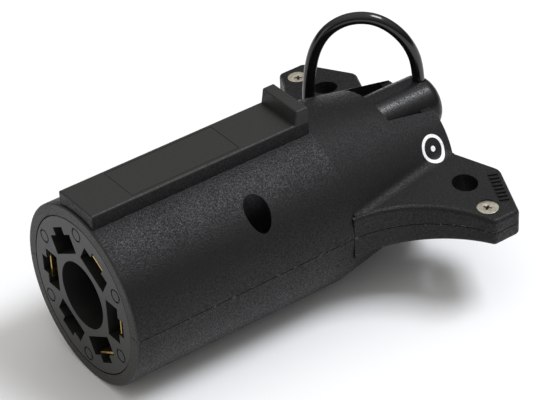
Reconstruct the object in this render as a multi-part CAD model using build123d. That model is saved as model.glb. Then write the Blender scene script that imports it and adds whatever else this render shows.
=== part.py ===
from build123d import *
import math
import os

# Trailer wiring adapter: a seven-way blade plug at the nose, a four-way flat outlet at the rear.
# Millimetres. The origin is the centre of the nose face, +Y runs along the body to the rear,
# +Z points to the key ridge and +X across the wings. The housing halves part at z = 0.

# ---- Housing body ----
NOSE_RADIUS = 22.25
NOSE_LENGTH = 60.0
NOSE_ROUND = 0.5
TAPER_LENGTH = 35.2
REAR_RADIUS = 16.1
REAR_ROUND = 0.6
WALL = 2.8
REAR_WALL = 15.2
GROOVE_DEPTH = 0.22
GROOVE_WIDTH = 0.18

# ---- Key ridge along the top of the nose ----
KEY_WIDTH = 13.2
KEY_RISE = 2.7
KEY_SETBACK = 0.6
KEY_REAR_SETBACK = 0.36
KEY_ROUND = 0.45
STOP_RISE = 3.55
STOP_LENGTH = 3.84
STOP_LEAN = 0.6
PANEL_START = 11.8
PANEL_LENGTH = 29.2
PANEL_MARGIN = 1.0
PANEL_LINE = 0.22
PANEL_DEPTH = 0.1

# ---- Finger wings ----
WING_ROOT_HALF = 5.48
WING_TIP_HALF = 3.43
WING_SPAN_HALF = 41.4
WING_ROOT_OUT = 0.05
WING_FRONT_SETBACK = 25.8
WING_BOW = 4.95
WING_TIP_LENGTH = 7.5
WING_CORNER_X = 27.2
WING_CORNER_BACK = 4.3
WING_REAR_SLOPE = 0.47
WING_EDGE_ROUND = 1.1
WING_CORNER_ROUND = 2.6
TIP_CORNER_ROUND = 1.3
FILLET_FRONT = 2.2
FILLET_REAR = 3.6
FILLET_SINK = 1.0
FILLET_SECTIONS = 5
LANYARD_HOLE_RADIUS = 3.1
LANYARD_HOLE_X = 26.7
LANYARD_HOLE_BACK = 6.0
WING_SCREW_X = 36.2
WING_SCREW_BACK = 7.2
GRIP_BARS = 8
GRIP_BAR_LENGTH = 2.3
GRIP_BAR_WIDTH = 0.55
GRIP_BAR_HEIGHT = 0.25
GRIP_PITCH = 1.3
GRIP_START = 4.2
GRIP_MARGIN = 1.3

# ---- Cord barrel on top of the taper, in its pocket, which is open to the rear above a sill ----
POCKET_WIDTH = 17.0
POCKET_LENGTH = 11.2
POCKET_BACK = 14.0
POCKET_FLOOR = 8.0
POCKET_SILL = 13.4
BARREL_HEIGHT = 10.3
BARREL_RADIUS = 7.0
BARREL_ROUND = 3.0
BARREL_OVERHANG = 5.2
BARREL_BORE = 3.75
BARREL_BORE_DEPTH = 13.0

# ---- Contact carrier, the round insert in the nose ----
CARRIER_CLEARANCE = 0.15
CARRIER_LENGTH = 31.0
CARRIER_CHAMFER = 0.2
FLANGE_STEP = 1.3
FLANGE_LENGTH = 3.0
FLANGE_CLEARANCE = 0.1
CENTRE_BORE_RADIUS = 8.32
CENTRE_BORE_DEPTH = 27.0
SLOT_COUNT = 6
SLOT_INNER = 10.05
SLOT_OUTER = 14.6
SLOT_WIDTH = 9.7
NOTCH_OUTER = 16.5
NOTCH_WIDTH = 4.5
SLOT_DEPTH = 27.0
MARK_CIRCLE = 16.69
MARK_RADIUS = 1.75
MARK_LINE = 0.4
MARK_DEPTH = 0.3

# ---- Blade contacts ----
LEAF_WIDTH = 7.0
LEAF_THICKNESS = 0.45
LEAF_CLEARANCE = 0.1
LEAF_SETBACK = 0.8
CONTACT_INSET = 0.3
SPRING_THICKNESS = 0.4
SPRING_WIDTH = 5.6
SPRING_START = 8.0
SPRING_CREST = 12.5
SPRING_GAP = 1.1
SPRING_DIP = 0.9
SPRING_ROOT = (0.2, 0.1)
TAIL_WIDTH = 2.4
TAIL_CLEARANCE = 0.1
CRIMP_HEIGHT = 9.6
CRIMP_RADIUS = 1.7
CRIMP_LENGTH = 7.0
CRIMP_SETBACK = 2.0

# ---- Four-way flat outlet ----
OUTLET_WIDTH = 29.0
OUTLET_HEIGHT = 7.4
OUTLET_CLEARANCE = 0.1
OUTLET_RECESS = 0.8
OUTLET_PITCH = 7.2
OUTLET_FLANGE_STEP = 1.1
OUTLET_FLANGE_INSET = 2.2
OUTLET_FLANGE_LENGTH = 3.0
OUTLET_CUTBACK = 10.4
OUTLET_ROUND = 1.0
SOCKET_OUTER_RADIUS = 2.3
SOCKET_BORE_RADIUS = 1.8
SOCKET_DEPTH = 12.0
PIN_RADIUS = 1.75
PIN_LENGTH = 9.6
PIN_DOME = 1.05
SOCKET_SETBACK = 1.0
SOCKET_FLOOR = 1.2
TERMINAL_TAIL_RADIUS = 1.3
TERMINAL_TAIL_LENGTH = 4.0

# ---- Jumper wires inside the body ----
WIRE_RADIUS = 1.2
WIRE_LEAD = 9.5

# ---- Screws ----
BODY_SCREW_X = 16.4
BODY_SCREW_Y = 37.4
COUNTERBORE_RADIUS = 3.1
PILLAR_WALL = 1.3
SCREW_SEAT = 3.4
HEAD_RADIUS = 2.8
HEAD_HEIGHT = 2.0
SHANK_RADIUS = 1.5
SHANK_CLEARANCE = 0.1
BODY_SCREW_REACH = 9.0
WING_HEAD_RADIUS = 2.65
WING_HEAD_DEPTH = 1.5
WING_HEAD_SINK = 0.15
WING_SHANK_RADIUS = 1.2
WING_SCREW_REACH = 2.4
CROSS_LENGTH = 2.6
CROSS_WIDTH = 0.7
CROSS_DEPTH = 0.9
HEAD_ROUND = 0.8
BODY_CROSS_TURN = 20
WING_CROSS_TURN = 35

# ---- Cord loop ----
CORD_RADIUS = 1.5
CORD_CLEARANCE = 0.1
ANCHOR_X = -16.2
ANCHOR_WALL = 1.4
ANCHOR_CLEARANCE = 0.1
REAR_ANCHOR_OUT = 2.1
FERRULE_RADIUS = 2.2
FERRULE_LENGTH = 5.4
FRONT_FERRULE_LENGTH = 4.5
FERRULE_CLEARANCE = 0.2
# The loop stands in the upright plane through its two holes. Each point is its distance from the
# rear hole towards the front one, and its height.
LOOP_ROUTE = [
    (0.0, 13.1),
    (0.0, 20.6),
    (2.2, 27.2),
    (6.3, 32.1),
    (11.2, 34.7),
    (16.8, 34.5),
    (21.6, 31.5),
    (24.6, 26.3),
    (26.0, 19.4),
    (26.5, 12.0),
    (26.5, 4.8),
]

# ---- Values that follow ----
BODY_LENGTH = NOSE_LENGTH + TAPER_LENGTH
TAPER_SLOPE = (NOSE_RADIUS - REAR_RADIUS) / TAPER_LENGTH
BORE_RADIUS = NOSE_RADIUS - WALL
CAVITY_END = BODY_LENGTH - REAR_WALL
CARRIER_RADIUS = BORE_RADIUS - CARRIER_CLEARANCE
KEY_TOP = NOSE_RADIUS + KEY_RISE
OUTLET_FACE = BODY_LENGTH - OUTLET_RECESS
OUTLET_START = CAVITY_END - OUTLET_FLANGE_LENGTH
FAR = 200.0

CONTACT_ANGLES = {"tail": 30, "left_turn": 90, "ground": 150, "right_turn": 270}
OUTLET_X = {
    "ground": 1.5 * OUTLET_PITCH,
    "tail": 0.5 * OUTLET_PITCH,
    "left_turn": -0.5 * OUTLET_PITCH,
    "right_turn": -1.5 * OUTLET_PITCH,
}


def radius_at(y):
    """Outer radius of the body at a place along it."""
    return NOSE_RADIUS - TAPER_SLOPE * max(0.0, y - NOSE_LENGTH)


def turned(points):
    """A solid turned about the Y axis, from (radius, y) points."""
    return revolve(make_face(Polyline(*points, close=True)), Axis.Y)


def block(x_range, y_range, z_range):
    """A box from its ranges."""
    size = [high - low for low, high in (x_range, y_range, z_range)]
    middle = [(high + low) / 2 for low, high in (x_range, y_range, z_range)]
    return Pos(*middle) * Box(*size)


def upright(x, y, low, high, radius):
    """A cylinder along Z."""
    return Pos(x, y, (low + high) / 2) * Cylinder(radius, high - low)


def along(x, z, front, rear, radius):
    """A cylinder along Y."""
    return Pos(x, (front + rear) / 2, z) * Rot(90, 0, 0) * Cylinder(radius, rear - front)


def mirrored(solid):
    """The same solid on the other side of the body."""
    return mirror(solid, Plane.YZ)


def turned_to(solid, degrees):
    """A solid made at twelve o'clock, turned clockwise as seen from the nose."""
    return Rot(0, degrees, 0) * solid


# ---- Wings ----
def wing_rear_y(x):
    """The wing's rear edge, from its rounded corner in to the body."""
    return BODY_LENGTH + WING_CORNER_BACK - (WING_CORNER_X - x) * WING_REAR_SLOPE


def wing_half_at(x):
    """Half the wing's thickness at a distance from the centre plane."""
    root_x = NOSE_RADIUS + WING_ROOT_OUT
    share = (x - root_x) / (WING_SPAN_HALF - root_x)
    return WING_ROOT_HALF + (WING_TIP_HALF - WING_ROOT_HALF) * share


def wing_plan():
    """The right wing's outline from above, with its bowed front edge."""
    inner_x = REAR_RADIUS / 2
    root = Vector(NOSE_RADIUS + WING_ROOT_OUT, NOSE_LENGTH)
    tip = Vector(WING_SPAN_HALF, NOSE_LENGTH + WING_FRONT_SETBACK)
    chord = tip - root
    bow = root + chord / 2 + Vector(-chord.Y, chord.X).normalized() * WING_BOW
    tip_rear = (WING_SPAN_HALF, tip.Y + WING_TIP_LENGTH)
    corner = (WING_CORNER_X, BODY_LENGTH + WING_CORNER_BACK)
    edges = ThreePointArc(root, bow, tip) + Polyline(
        tip,
        tip_rear,
        corner,
        (inner_x, wing_rear_y(inner_x)),
        (inner_x, NOSE_LENGTH),
        root,
    )
    face = make_face(edges)
    face = fillet(face.vertices().sort_by_distance(corner)[0], WING_CORNER_ROUND)
    sharp = [face.vertices().sort_by_distance(point)[0] for point in (tip, tip_rear)]
    return fillet(sharp, TIP_CORNER_ROUND)


def wing():
    """The right wing: thicker at the body, with softened upper and lower edges."""
    inner_x = REAR_RADIUS / 2
    outer_x = WING_SPAN_HALF + 5
    section = make_face(
        Plane.XZ
        * Polyline(
            (inner_x, wing_half_at(inner_x)),
            (outer_x, wing_half_at(outer_x)),
            (outer_x, -wing_half_at(outer_x)),
            (inner_x, -wing_half_at(inner_x)),
            close=True,
        )
    )
    plate = extrude(section, amount=FAR, dir=(0, 1, 0))
    plan = extrude(wing_plan(), amount=FAR / 2, both=True)
    shape = plate & plan
    rim = [
        edge
        for edge in shape.edges()
        if abs(edge.center().Z) > WING_TIP_HALF - 0.5
        and edge.center().X > NOSE_RADIUS
        and abs(edge.tangent_at(0.5).Z) < 0.5
    ]
    return fillet(rim, WING_EDGE_ROUND)


def fillet_section(y, bend):
    """The hollow between body and wing at a place along the body, a face across Y. Its arc has the
    radius given and runs smoothly into both."""
    radius = radius_at(y)
    slope = (WING_TIP_HALF - WING_ROOT_HALF) / (WING_SPAN_HALF - NOSE_RADIUS - WING_ROOT_OUT)
    lean = math.sqrt(1 + slope**2)
    centre_x = radius
    for _ in range(20):
        centre_z = wing_half_at(centre_x) + bend * lean
        centre_x = math.sqrt((radius + bend) ** 2 - centre_z**2)
    centre = Vector(centre_x, centre_z)
    on_body = centre * (radius / (radius + bend))
    on_wing = centre - Vector(-slope, 1) * (bend / lean)
    toward = ((on_body - centre).normalized() + (on_wing - centre).normalized()).normalized()
    corner_z = wing_half_at(radius)
    corner_x = math.sqrt(radius**2 - corner_z**2)
    plane = Plane(origin=(0, y, 0), x_dir=(1, 0, 0), z_dir=(0, -1, 0))
    edges = ThreePointArc(on_body, centre + toward * bend, on_wing) + Polyline(
        on_wing,
        on_wing - Vector(0, FILLET_SINK),
        (corner_x - 2 * FILLET_SINK, corner_z - FILLET_SINK),
        on_body * (1 - FILLET_SINK / radius),
        on_body,
    )
    return make_face(plane * edges)


def wing_fillets():
    """The hollow fillets above and below the right wing, growing to the rear."""
    sections = []
    for i in range(FILLET_SECTIONS):
        share = i / (FILLET_SECTIONS - 1)
        y = NOSE_LENGTH + (TAPER_LENGTH - REAR_ROUND) * share
        sections.append(fillet_section(y, FILLET_FRONT + (FILLET_REAR - FILLET_FRONT) * share))
    plan = offset(wing_plan(), amount=-WING_EDGE_ROUND / 2)
    upper = loft(sections) & extrude(plan, amount=FAR / 2, both=True)
    return upper, mirror(upper, Plane.XY)


def grip_bars():
    """Short raised bars beside the right wing's slanted edge."""
    tip = Vector(WING_SPAN_HALF, NOSE_LENGTH + WING_FRONT_SETBACK + WING_TIP_LENGTH)
    corner = Vector(WING_CORNER_X, BODY_LENGTH + WING_CORNER_BACK)
    run = (corner - tip).normalized()
    inward = Vector(-run.Y, run.X)
    angle = math.degrees(math.atan2(run.Y, run.X))
    bars = []
    for i in range(GRIP_BARS):
        place = tip + run * (GRIP_START + GRIP_PITCH * i)
        place = place + inward * (GRIP_MARGIN + GRIP_BAR_LENGTH / 2)
        height = wing_half_at(place.X) + GRIP_BAR_HEIGHT / 2
        bar = Box(GRIP_BAR_WIDTH, GRIP_BAR_LENGTH, 2 * GRIP_BAR_HEIGHT)
        bars.append(Pos(place.X, place.Y, height) * Rot(0, 0, angle) * bar)
    return bars


# ---- Housing ----
def body_shape():
    """The turned body with its rounded nose rim, filled."""
    outline = [
        (0, 0),
        (NOSE_RADIUS, 0),
        (NOSE_RADIUS, NOSE_LENGTH),
        (REAR_RADIUS, BODY_LENGTH),
        (0, BODY_LENGTH),
    ]
    face = make_face(Polyline(*outline, close=True))
    face = fillet(face.vertices().sort_by_distance((NOSE_RADIUS, 0))[0], NOSE_ROUND)
    face = fillet(face.vertices().sort_by_distance((REAR_RADIUS, BODY_LENGTH))[0], REAR_ROUND)
    return revolve(face, Axis.Y)


def key_ridge():
    """The flat-topped key with the stop block at its rear end."""
    rear = NOSE_LENGTH - KEY_REAR_SETBACK
    front_of_stop = rear - STOP_LENGTH
    base = NOSE_RADIUS * 0.7
    outline = [
        (KEY_SETBACK, base),
        (KEY_SETBACK, KEY_TOP),
        (front_of_stop, KEY_TOP),
        (front_of_stop + STOP_LEAN, KEY_TOP + STOP_RISE),
        (rear, KEY_TOP + STOP_RISE),
        (rear, base),
    ]
    side = make_face(Plane.YZ * Polyline(*outline, close=True))
    ridge = extrude(side, amount=KEY_WIDTH / 2, both=True)
    rim = [edge for edge in ridge.edges() if edge.center().Z > KEY_TOP - 0.1]
    inner_corner = [edge for edge in rim if abs(edge.center().Y - front_of_stop) < 0.05]
    outer = [edge for edge in rim if edge not in inner_corner]
    ridge = fillet(outer, KEY_ROUND)
    panel_x = KEY_WIDTH / 2 - PANEL_MARGIN
    panel_end = PANEL_START + PANEL_LENGTH
    levels = (KEY_TOP - PANEL_DEPTH, KEY_TOP + 1)
    line = block((-panel_x, panel_x), (PANEL_START, panel_end), levels) - block(
        (-panel_x + PANEL_LINE, panel_x - PANEL_LINE),
        (PANEL_START + PANEL_LINE, panel_end - PANEL_LINE),
        levels,
    )
    return ridge - line


def barrel():
    """The cord barrel, filled, with a rounded rear end."""
    front = BODY_LENGTH - POCKET_BACK - 1
    rear = BODY_LENGTH + BARREL_OVERHANG
    outline = [(0, front), (BARREL_RADIUS, front), (BARREL_RADIUS, rear), (0, rear)]
    face = make_face(Polyline(*outline, close=True))
    face = fillet(face.vertices().sort_by_distance((BARREL_RADIUS, rear))[0], BARREL_ROUND)
    return Pos(0, 0, BARREL_HEIGHT) * revolve(face, Axis.Y)


def parting_groove():
    """The thin groove all round the housing where its halves meet."""
    body = make_face(
        Polyline(
            (-NOSE_RADIUS, 0),
            (NOSE_RADIUS, 0),
            (NOSE_RADIUS, NOSE_LENGTH),
            (REAR_RADIUS, BODY_LENGTH),
            (-REAR_RADIUS, BODY_LENGTH),
            (-NOSE_RADIUS, NOSE_LENGTH),
            close=True,
        )
    )
    right = wing_plan()
    outline = body + right + mirror(right, Plane.YZ)
    kept = extrude(offset(outline, amount=-GROOVE_DEPTH), amount=1, both=True)
    all_round = block((-FAR, FAR), (-FAR, FAR), (-GROOVE_WIDTH / 2, GROOVE_WIDTH / 2))
    return all_round - kept


def cavity():
    """The hollow inside: the carrier's bore with its flange groove, and the space behind it."""
    flange_radius = CARRIER_RADIUS + FLANGE_STEP + FLANGE_CLEARANCE
    flange_rear = CARRIER_LENGTH + FLANGE_CLEARANCE
    flange_front = CARRIER_LENGTH - FLANGE_LENGTH
    rear_radius = radius_at(CAVITY_END) - WALL
    return turned(
        [
            (0, -1),
            (BORE_RADIUS, -1),
            (BORE_RADIUS, flange_front),
            (flange_radius, flange_front),
            (flange_radius, flange_rear),
            (BORE_RADIUS, flange_rear),
            (BORE_RADIUS, NOSE_LENGTH),
            (rear_radius, CAVITY_END),
            (0, CAVITY_END),
        ]
    )


def rear_anchor():
    """Where the loop goes into the barrel: x and y."""
    return 0.0, BODY_LENGTH + REAR_ANCHOR_OUT


def front_anchor():
    """Where the loop goes into the taper's flank, just ahead of the rear wall: x and y."""
    return ANCHOR_X, CAVITY_END - FERRULE_RADIUS - ANCHOR_WALL - ANCHOR_CLEARANCE


def screw_places():
    """The two body screws' x and y."""
    return [(side * BODY_SCREW_X, BODY_SCREW_Y) for side in (1, -1)]


def wing_screw_places():
    """The two wing screws' x and y."""
    return [(side * WING_SCREW_X, BODY_LENGTH - WING_SCREW_BACK) for side in (1, -1)]


def housing():
    """Both halves of the housing in one, before they are parted."""
    outer = body_shape()
    right_wing = [wing(), *wing_fillets()]
    outer = outer + right_wing + [mirrored(piece) for piece in right_wing]
    shell = outer - cavity()
    pillar = COUNTERBORE_RADIUS + PILLAR_WALL
    top = NOSE_RADIUS
    pads = [upright(x, y, -top, top, pillar) for x, y in screw_places()]
    anchor_x, anchor_y = front_anchor()
    pads.append(upright(anchor_x, anchor_y, 0, top, FERRULE_RADIUS + ANCHOR_WALL))
    shell = shell + [pad & body_shape() for pad in pads]

    pocket_front = BODY_LENGTH - POCKET_BACK
    half = POCKET_WIDTH / 2
    pocket_rear = pocket_front + POCKET_LENGTH
    shell = shell - block((-half, half), (pocket_front, pocket_rear), (POCKET_FLOOR, FAR))
    shell = shell - block((-half, half), (pocket_front, FAR), (POCKET_SILL, FAR))
    shell = shell + barrel() + (key_ridge() - along(0, 0, -1, FAR, NOSE_RADIUS - WALL / 2))
    shell = shell + grip_bars()

    barrel_rear = BODY_LENGTH + BARREL_OVERHANG
    cuts = [
        along(0, BARREL_HEIGHT, barrel_rear - BARREL_BORE_DEPTH, barrel_rear + 1, BARREL_BORE),
        parting_groove(),
    ]
    opening_x = OUTLET_WIDTH / 2 + OUTLET_CLEARANCE
    opening_z = OUTLET_HEIGHT / 2 + OUTLET_CLEARANCE
    cuts.append(
        block((-opening_x, opening_x), (CAVITY_END - 1, FAR), (-opening_z, opening_z))
    )
    hole = CORD_RADIUS + CORD_CLEARANCE
    rear_x, rear_y = rear_anchor()
    cuts.append(upright(rear_x, rear_y, BARREL_HEIGHT, FAR, hole))
    cuts.append(upright(anchor_x, anchor_y, 0, FAR, hole))
    ferrule_top = LOOP_ROUTE[-1][1] + FERRULE_CLEARANCE
    cuts.append(
        upright(anchor_x, anchor_y, 0, ferrule_top, FERRULE_RADIUS + FERRULE_CLEARANCE)
    )
    for x, y in screw_places():
        cuts.append(upright(x, y, SCREW_SEAT, FAR, COUNTERBORE_RADIUS))
        cuts.append(upright(x, y, 0, FAR, SHANK_RADIUS + SHANK_CLEARANCE))
        cuts.append(upright(x, y, SCREW_SEAT - BODY_SCREW_REACH - 1, 0, SHANK_RADIUS))
    for x, y in wing_screw_places():
        seat = wing_half_at(abs(x)) - WING_HEAD_SINK
        head_low = seat - WING_HEAD_DEPTH
        cuts.append(upright(x, y, seat, FAR, WING_HEAD_RADIUS))
        cuts.append(
            Pos(x, y, (seat + head_low) / 2)
            * Cone(WING_SHANK_RADIUS, WING_HEAD_RADIUS, WING_HEAD_DEPTH)
        )
        cuts.append(upright(x, y, -WING_SCREW_REACH, seat, WING_SHANK_RADIUS))
    for side in (1, -1):
        y = BODY_LENGTH - LANYARD_HOLE_BACK
        cuts.append(upright(side * LANYARD_HOLE_X, y, -FAR, FAR, LANYARD_HOLE_RADIUS))
    for cut in cuts:
        shell = shell - cut
    return shell


def largest(shape):
    """The largest solid of a shape, without the slivers that a cut can leave."""
    return sorted(shape.solids(), key=lambda solid: solid.volume)[-1]


def upper_housing(shell):
    return largest(shell & block((-FAR, FAR), (-FAR, FAR), (0, FAR)))


def lower_housing(shell):
    return largest(shell & block((-FAR, FAR), (-FAR, FAR), (-FAR, 0)))


# ---- Contact carrier ----
def contact_carrier():
    """The round insert: six keyed blade slots round an empty centre bore."""
    flange_radius = CARRIER_RADIUS + FLANGE_STEP
    flange_front = CARRIER_LENGTH - FLANGE_LENGTH
    shape = turned(
        [
            (0, 0),
            (CARRIER_RADIUS - CARRIER_CHAMFER, 0),
            (CARRIER_RADIUS, CARRIER_CHAMFER),
            (CARRIER_RADIUS, flange_front),
            (flange_radius, flange_front),
            (flange_radius, CARRIER_LENGTH),
            (0, CARRIER_LENGTH),
        ]
    )
    shape = shape - along(0, 0, -1, CENTRE_BORE_DEPTH, CENTRE_BORE_RADIUS)
    half = SLOT_WIDTH / 2
    notch = NOTCH_WIDTH / 2
    slot = block((-half, half), (-1, SLOT_DEPTH), (SLOT_INNER, SLOT_OUTER))
    slot = slot + block((-notch, notch), (-1, SLOT_DEPTH), (SLOT_OUTER - 0.5, NOTCH_OUTER))
    mark = along(0, MARK_CIRCLE, -1, MARK_DEPTH, MARK_RADIUS)
    mark = mark - along(0, MARK_CIRCLE, -2, MARK_DEPTH + 1, MARK_RADIUS - MARK_LINE)
    step = 360 / SLOT_COUNT
    for i in range(SLOT_COUNT):
        shape = shape - turned_to(slot, step * (i + 0.5))
        shape = shape - turned_to(mark, step * i)
    tail_half = TAIL_WIDTH / 2 + TAIL_CLEARANCE
    tail_low = SLOT_INNER + CONTACT_INSET - TAIL_CLEARANCE
    tail_high = tail_low + LEAF_THICKNESS + 2 * TAIL_CLEARANCE
    tail_hole = block((-tail_half, tail_half), (SLOT_DEPTH - 1, FAR), (tail_low, tail_high))
    for angle in CONTACT_ANGLES.values():
        shape = shape - turned_to(tail_hole, angle)
    return shape


def blade_contact(angle):
    """A brass contact: an outer leaf, a bowed inner spring leaf, and a crimp tail at the rear."""
    leaf_high = SLOT_OUTER - LEAF_CLEARANCE
    leaf_low = leaf_high - LEAF_THICKNESS
    base_front = SLOT_DEPTH - LEAF_THICKNESS
    inner = SLOT_INNER + CONTACT_INSET
    half = LEAF_WIDTH / 2
    leaf = block((-half, half), (LEAF_SETBACK, SLOT_DEPTH), (leaf_low, leaf_high))
    base = block((-half, half), (base_front, SLOT_DEPTH), (inner, leaf_high))
    crest = leaf_low - SPRING_GAP
    root_y = base_front + SPRING_ROOT[0]
    root_z = inner + SPRING_ROOT[1]
    spring_line = [
        (root_y, root_z),
        (SPRING_CREST, crest - SPRING_THICKNESS),
        (SPRING_START, crest - SPRING_THICKNESS - SPRING_DIP),
        (SPRING_START, crest - SPRING_DIP),
        (SPRING_CREST, crest),
        (root_y, root_z + 2 * SPRING_THICKNESS),
    ]
    spring_face = make_face(Plane.YZ * Polyline(*spring_line, close=True))
    spring = extrude(spring_face, amount=SPRING_WIDTH / 2, both=True)
    tail_half = TAIL_WIDTH / 2
    crimp_front = CARRIER_LENGTH + CRIMP_SETBACK
    tail_end = crimp_front + CRIMP_LENGTH
    tail = block((-tail_half, tail_half), (base_front, tail_end), (inner, inner + LEAF_THICKNESS))
    crimp = along(0, CRIMP_HEIGHT, crimp_front, tail_end, CRIMP_RADIUS)
    return turned_to(leaf + base + spring + (tail & along(0, 0, 0, tail_end, FAR)) + crimp, angle)


# ---- Flat outlet ----
def outlet_block():
    """The moulded outlet: three shrouded sockets, and a cut-back end that bares the ground pin."""
    half_x = OUTLET_WIDTH / 2
    half_z = OUTLET_HEIGHT / 2
    flange_z = half_z + OUTLET_FLANGE_STEP
    nose = block((-half_x, half_x), (CAVITY_END, OUTLET_FACE), (-half_z, half_z))
    rim = [edge for edge in nose.edges().filter_by(Axis.Y)]
    nose = fillet(rim, OUTLET_ROUND)
    flange_x = half_x - OUTLET_FLANGE_INSET
    flange = block((-flange_x, flange_x), (OUTLET_START, CAVITY_END), (-flange_z, flange_z))
    shape = nose + flange
    step_x = OUTLET_X["tail"] + OUTLET_PITCH / 2
    cut_front = OUTLET_FACE - OUTLET_CUTBACK
    shape = shape - block((step_x, FAR), (cut_front, FAR), (-FAR, FAR))
    socket_front = OUTLET_FACE - SOCKET_DEPTH
    for name, x in OUTLET_X.items():
        shape = shape - along(x, 0, OUTLET_START - 1, FAR, TERMINAL_TAIL_RADIUS)
        if name != "ground":
            shape = shape - along(x, 0, socket_front, FAR, SOCKET_OUTER_RADIUS)
    return shape


def outlet_socket(x):
    """A brass socket sleeve with its solder tail."""
    front = OUTLET_FACE - SOCKET_DEPTH
    sleeve = along(x, 0, front, OUTLET_FACE - SOCKET_SETBACK, SOCKET_OUTER_RADIUS)
    sleeve = sleeve - along(x, 0, front + SOCKET_FLOOR, FAR, SOCKET_BORE_RADIUS)
    tail = along(x, 0, OUTLET_START - TERMINAL_TAIL_LENGTH, front, TERMINAL_TAIL_RADIUS)
    return sleeve + tail


def ground_pin():
    """The bare round pin of the outlet, with a domed end, and its slimmer stem through the block."""
    x = OUTLET_X["ground"]
    shoulder = OUTLET_FACE - OUTLET_CUTBACK
    pin = along(x, 0, shoulder, shoulder + PIN_LENGTH, PIN_RADIUS)
    tip = pin.edges().filter_by(GeomType.CIRCLE).sort_by(Axis.Y)[-1]
    pin = fillet(tip, PIN_DOME)
    stem = along(x, 0, OUTLET_START - TERMINAL_TAIL_LENGTH, shoulder, TERMINAL_TAIL_RADIUS)
    return pin + stem


# ---- Jumper wires ----
def tube(points, radius):
    """A round tube on straight runs and tangent arcs, each as large as its two runs allow."""
    points = [Vector(*point) for point in points]
    radii = []
    for before, here, after in zip(points, points[1:], points[2:]):
        turn = math.radians((here - before).get_angle(after - here))
        shorter = min((here - before).length, (after - here).length)
        radii.append(0.45 * shorter / math.tan(turn / 2))
    path = FilletPolyline(*points, radius=radii)
    direction = (points[1] - points[0]).normalized()
    section = Plane(origin=points[0], z_dir=direction) * Circle(radius)
    solid = sweep(section, path=path)
    return solid, path.length, radii


def jumper_wire(name):
    """The insulated wire from a contact's crimp to its outlet terminal."""
    angle = math.radians(CONTACT_ANGLES[name])
    start = (CRIMP_HEIGHT * math.sin(angle), CRIMP_HEIGHT * math.cos(angle))
    front = CARRIER_LENGTH + CRIMP_SETBACK + CRIMP_LENGTH
    rear = OUTLET_START - TERMINAL_TAIL_LENGTH
    route = [
        (start[0], front, start[1]),
        (start[0], front + WIRE_LEAD, start[1]),
        (OUTLET_X[name], rear - WIRE_LEAD, 0),
        (OUTLET_X[name], rear, 0),
    ]
    return tube(route, WIRE_RADIUS)


# ---- Screws ----
def cross_recess(x, y, top, turn):
    """The cross-shaped driver recess of a screw head."""
    bar = Box(CROSS_LENGTH, CROSS_WIDTH, 2 * CROSS_DEPTH)
    cross = bar + Rot(0, 0, 90) * bar
    return Pos(x, y, top) * Rot(0, 0, turn) * cross


def body_screw(x, y):
    """A pan-head screw down through the upper half into the lower one."""
    head = upright(x, y, SCREW_SEAT, SCREW_SEAT + HEAD_HEIGHT, HEAD_RADIUS)
    rim = head.edges().filter_by(GeomType.CIRCLE).sort_by(Axis.Z)[-1]
    head = fillet(rim, HEAD_ROUND)
    shank = upright(x, y, SCREW_SEAT - BODY_SCREW_REACH, SCREW_SEAT + 0.5, SHANK_RADIUS)
    return head + shank - cross_recess(x, y, SCREW_SEAT + HEAD_HEIGHT, BODY_CROSS_TURN)


def wing_screw(x, y):
    """A flush countersunk screw near a wing tip."""
    top = wing_half_at(abs(x)) - WING_HEAD_SINK
    low = top - WING_HEAD_DEPTH
    head = Pos(x, y, (top + low) / 2) * Cone(WING_SHANK_RADIUS, WING_HEAD_RADIUS, WING_HEAD_DEPTH)
    shank = upright(x, y, -WING_SCREW_REACH, top - WING_HEAD_DEPTH / 2, WING_SHANK_RADIUS)
    return head + shank - cross_recess(x, y, top, WING_CROSS_TURN)


def group(solids):
    """Separate solids kept in one node."""
    return Compound(children=[piece.solids()[0] for piece in solids])


# ---- Cord loop ----
def loop_point(distance, height):
    """A point of the loop's route, from its place in the upright plane through both holes."""
    rear = Vector(*rear_anchor())
    front = Vector(*front_anchor())
    place = rear + (front - rear).normalized() * distance
    return place.X, place.Y, height


def cord_loop():
    """The coated cord that stands up in a loop between its two holes."""
    return tube([loop_point(*point) for point in LOOP_ROUTE], CORD_RADIUS)


def ferrules():
    """The crimped sleeves on the cord's two hidden ends."""
    ends = []
    for (distance, height), length in (
        (LOOP_ROUTE[0], FERRULE_LENGTH),
        (LOOP_ROUTE[-1], FRONT_FERRULE_LENGTH),
    ):
        x, y, z = loop_point(distance, height)
        ends.append(upright(x, y, z - length, z, FERRULE_RADIUS))
    return ends


def report_tube(name, solid, length, radii, radius):
    """Prints a tube's length, its bend radii, and its volume against section times length."""
    volume_ratio = solid.volume / (math.pi * radius**2 * length)
    bends = ", ".join(f"{bend:.1f}" for bend in radii)
    print(f"{name}: length {length:.2f}, radii {bends}, volume ratio {volume_ratio:.4f}")


def main():
    os.makedirs("parts", exist_ok=True)
    shell = housing()
    parts = {
        "upper_housing": upper_housing(shell),
        "lower_housing": lower_housing(shell),
        "contact_carrier": contact_carrier(),
        "outlet_block": outlet_block(),
        "ground_pin": ground_pin(),
        "body_screws": group([body_screw(x, y) for x, y in screw_places()]),
        "wing_screws": group([wing_screw(x, y) for x, y in wing_screw_places()]),
        "loop_ferrules": group(ferrules()),
    }
    for name, angle in CONTACT_ANGLES.items():
        parts[f"{name}_contact"] = blade_contact(angle)
        if name != "ground":
            parts[f"{name}_socket"] = outlet_socket(OUTLET_X[name])
        wire, length, radii = jumper_wire(name)
        report_tube(f"{name}_wire", wire, length, radii, WIRE_RADIUS)
        parts[f"{name}_wire"] = wire
    loop, length, radii = cord_loop()
    report_tube("cord_loop", loop, length, radii, CORD_RADIUS)
    parts["cord_loop"] = loop
    for name, shape in parts.items():
        export_step(shape, f"parts/{name}.step")


main()
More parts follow.
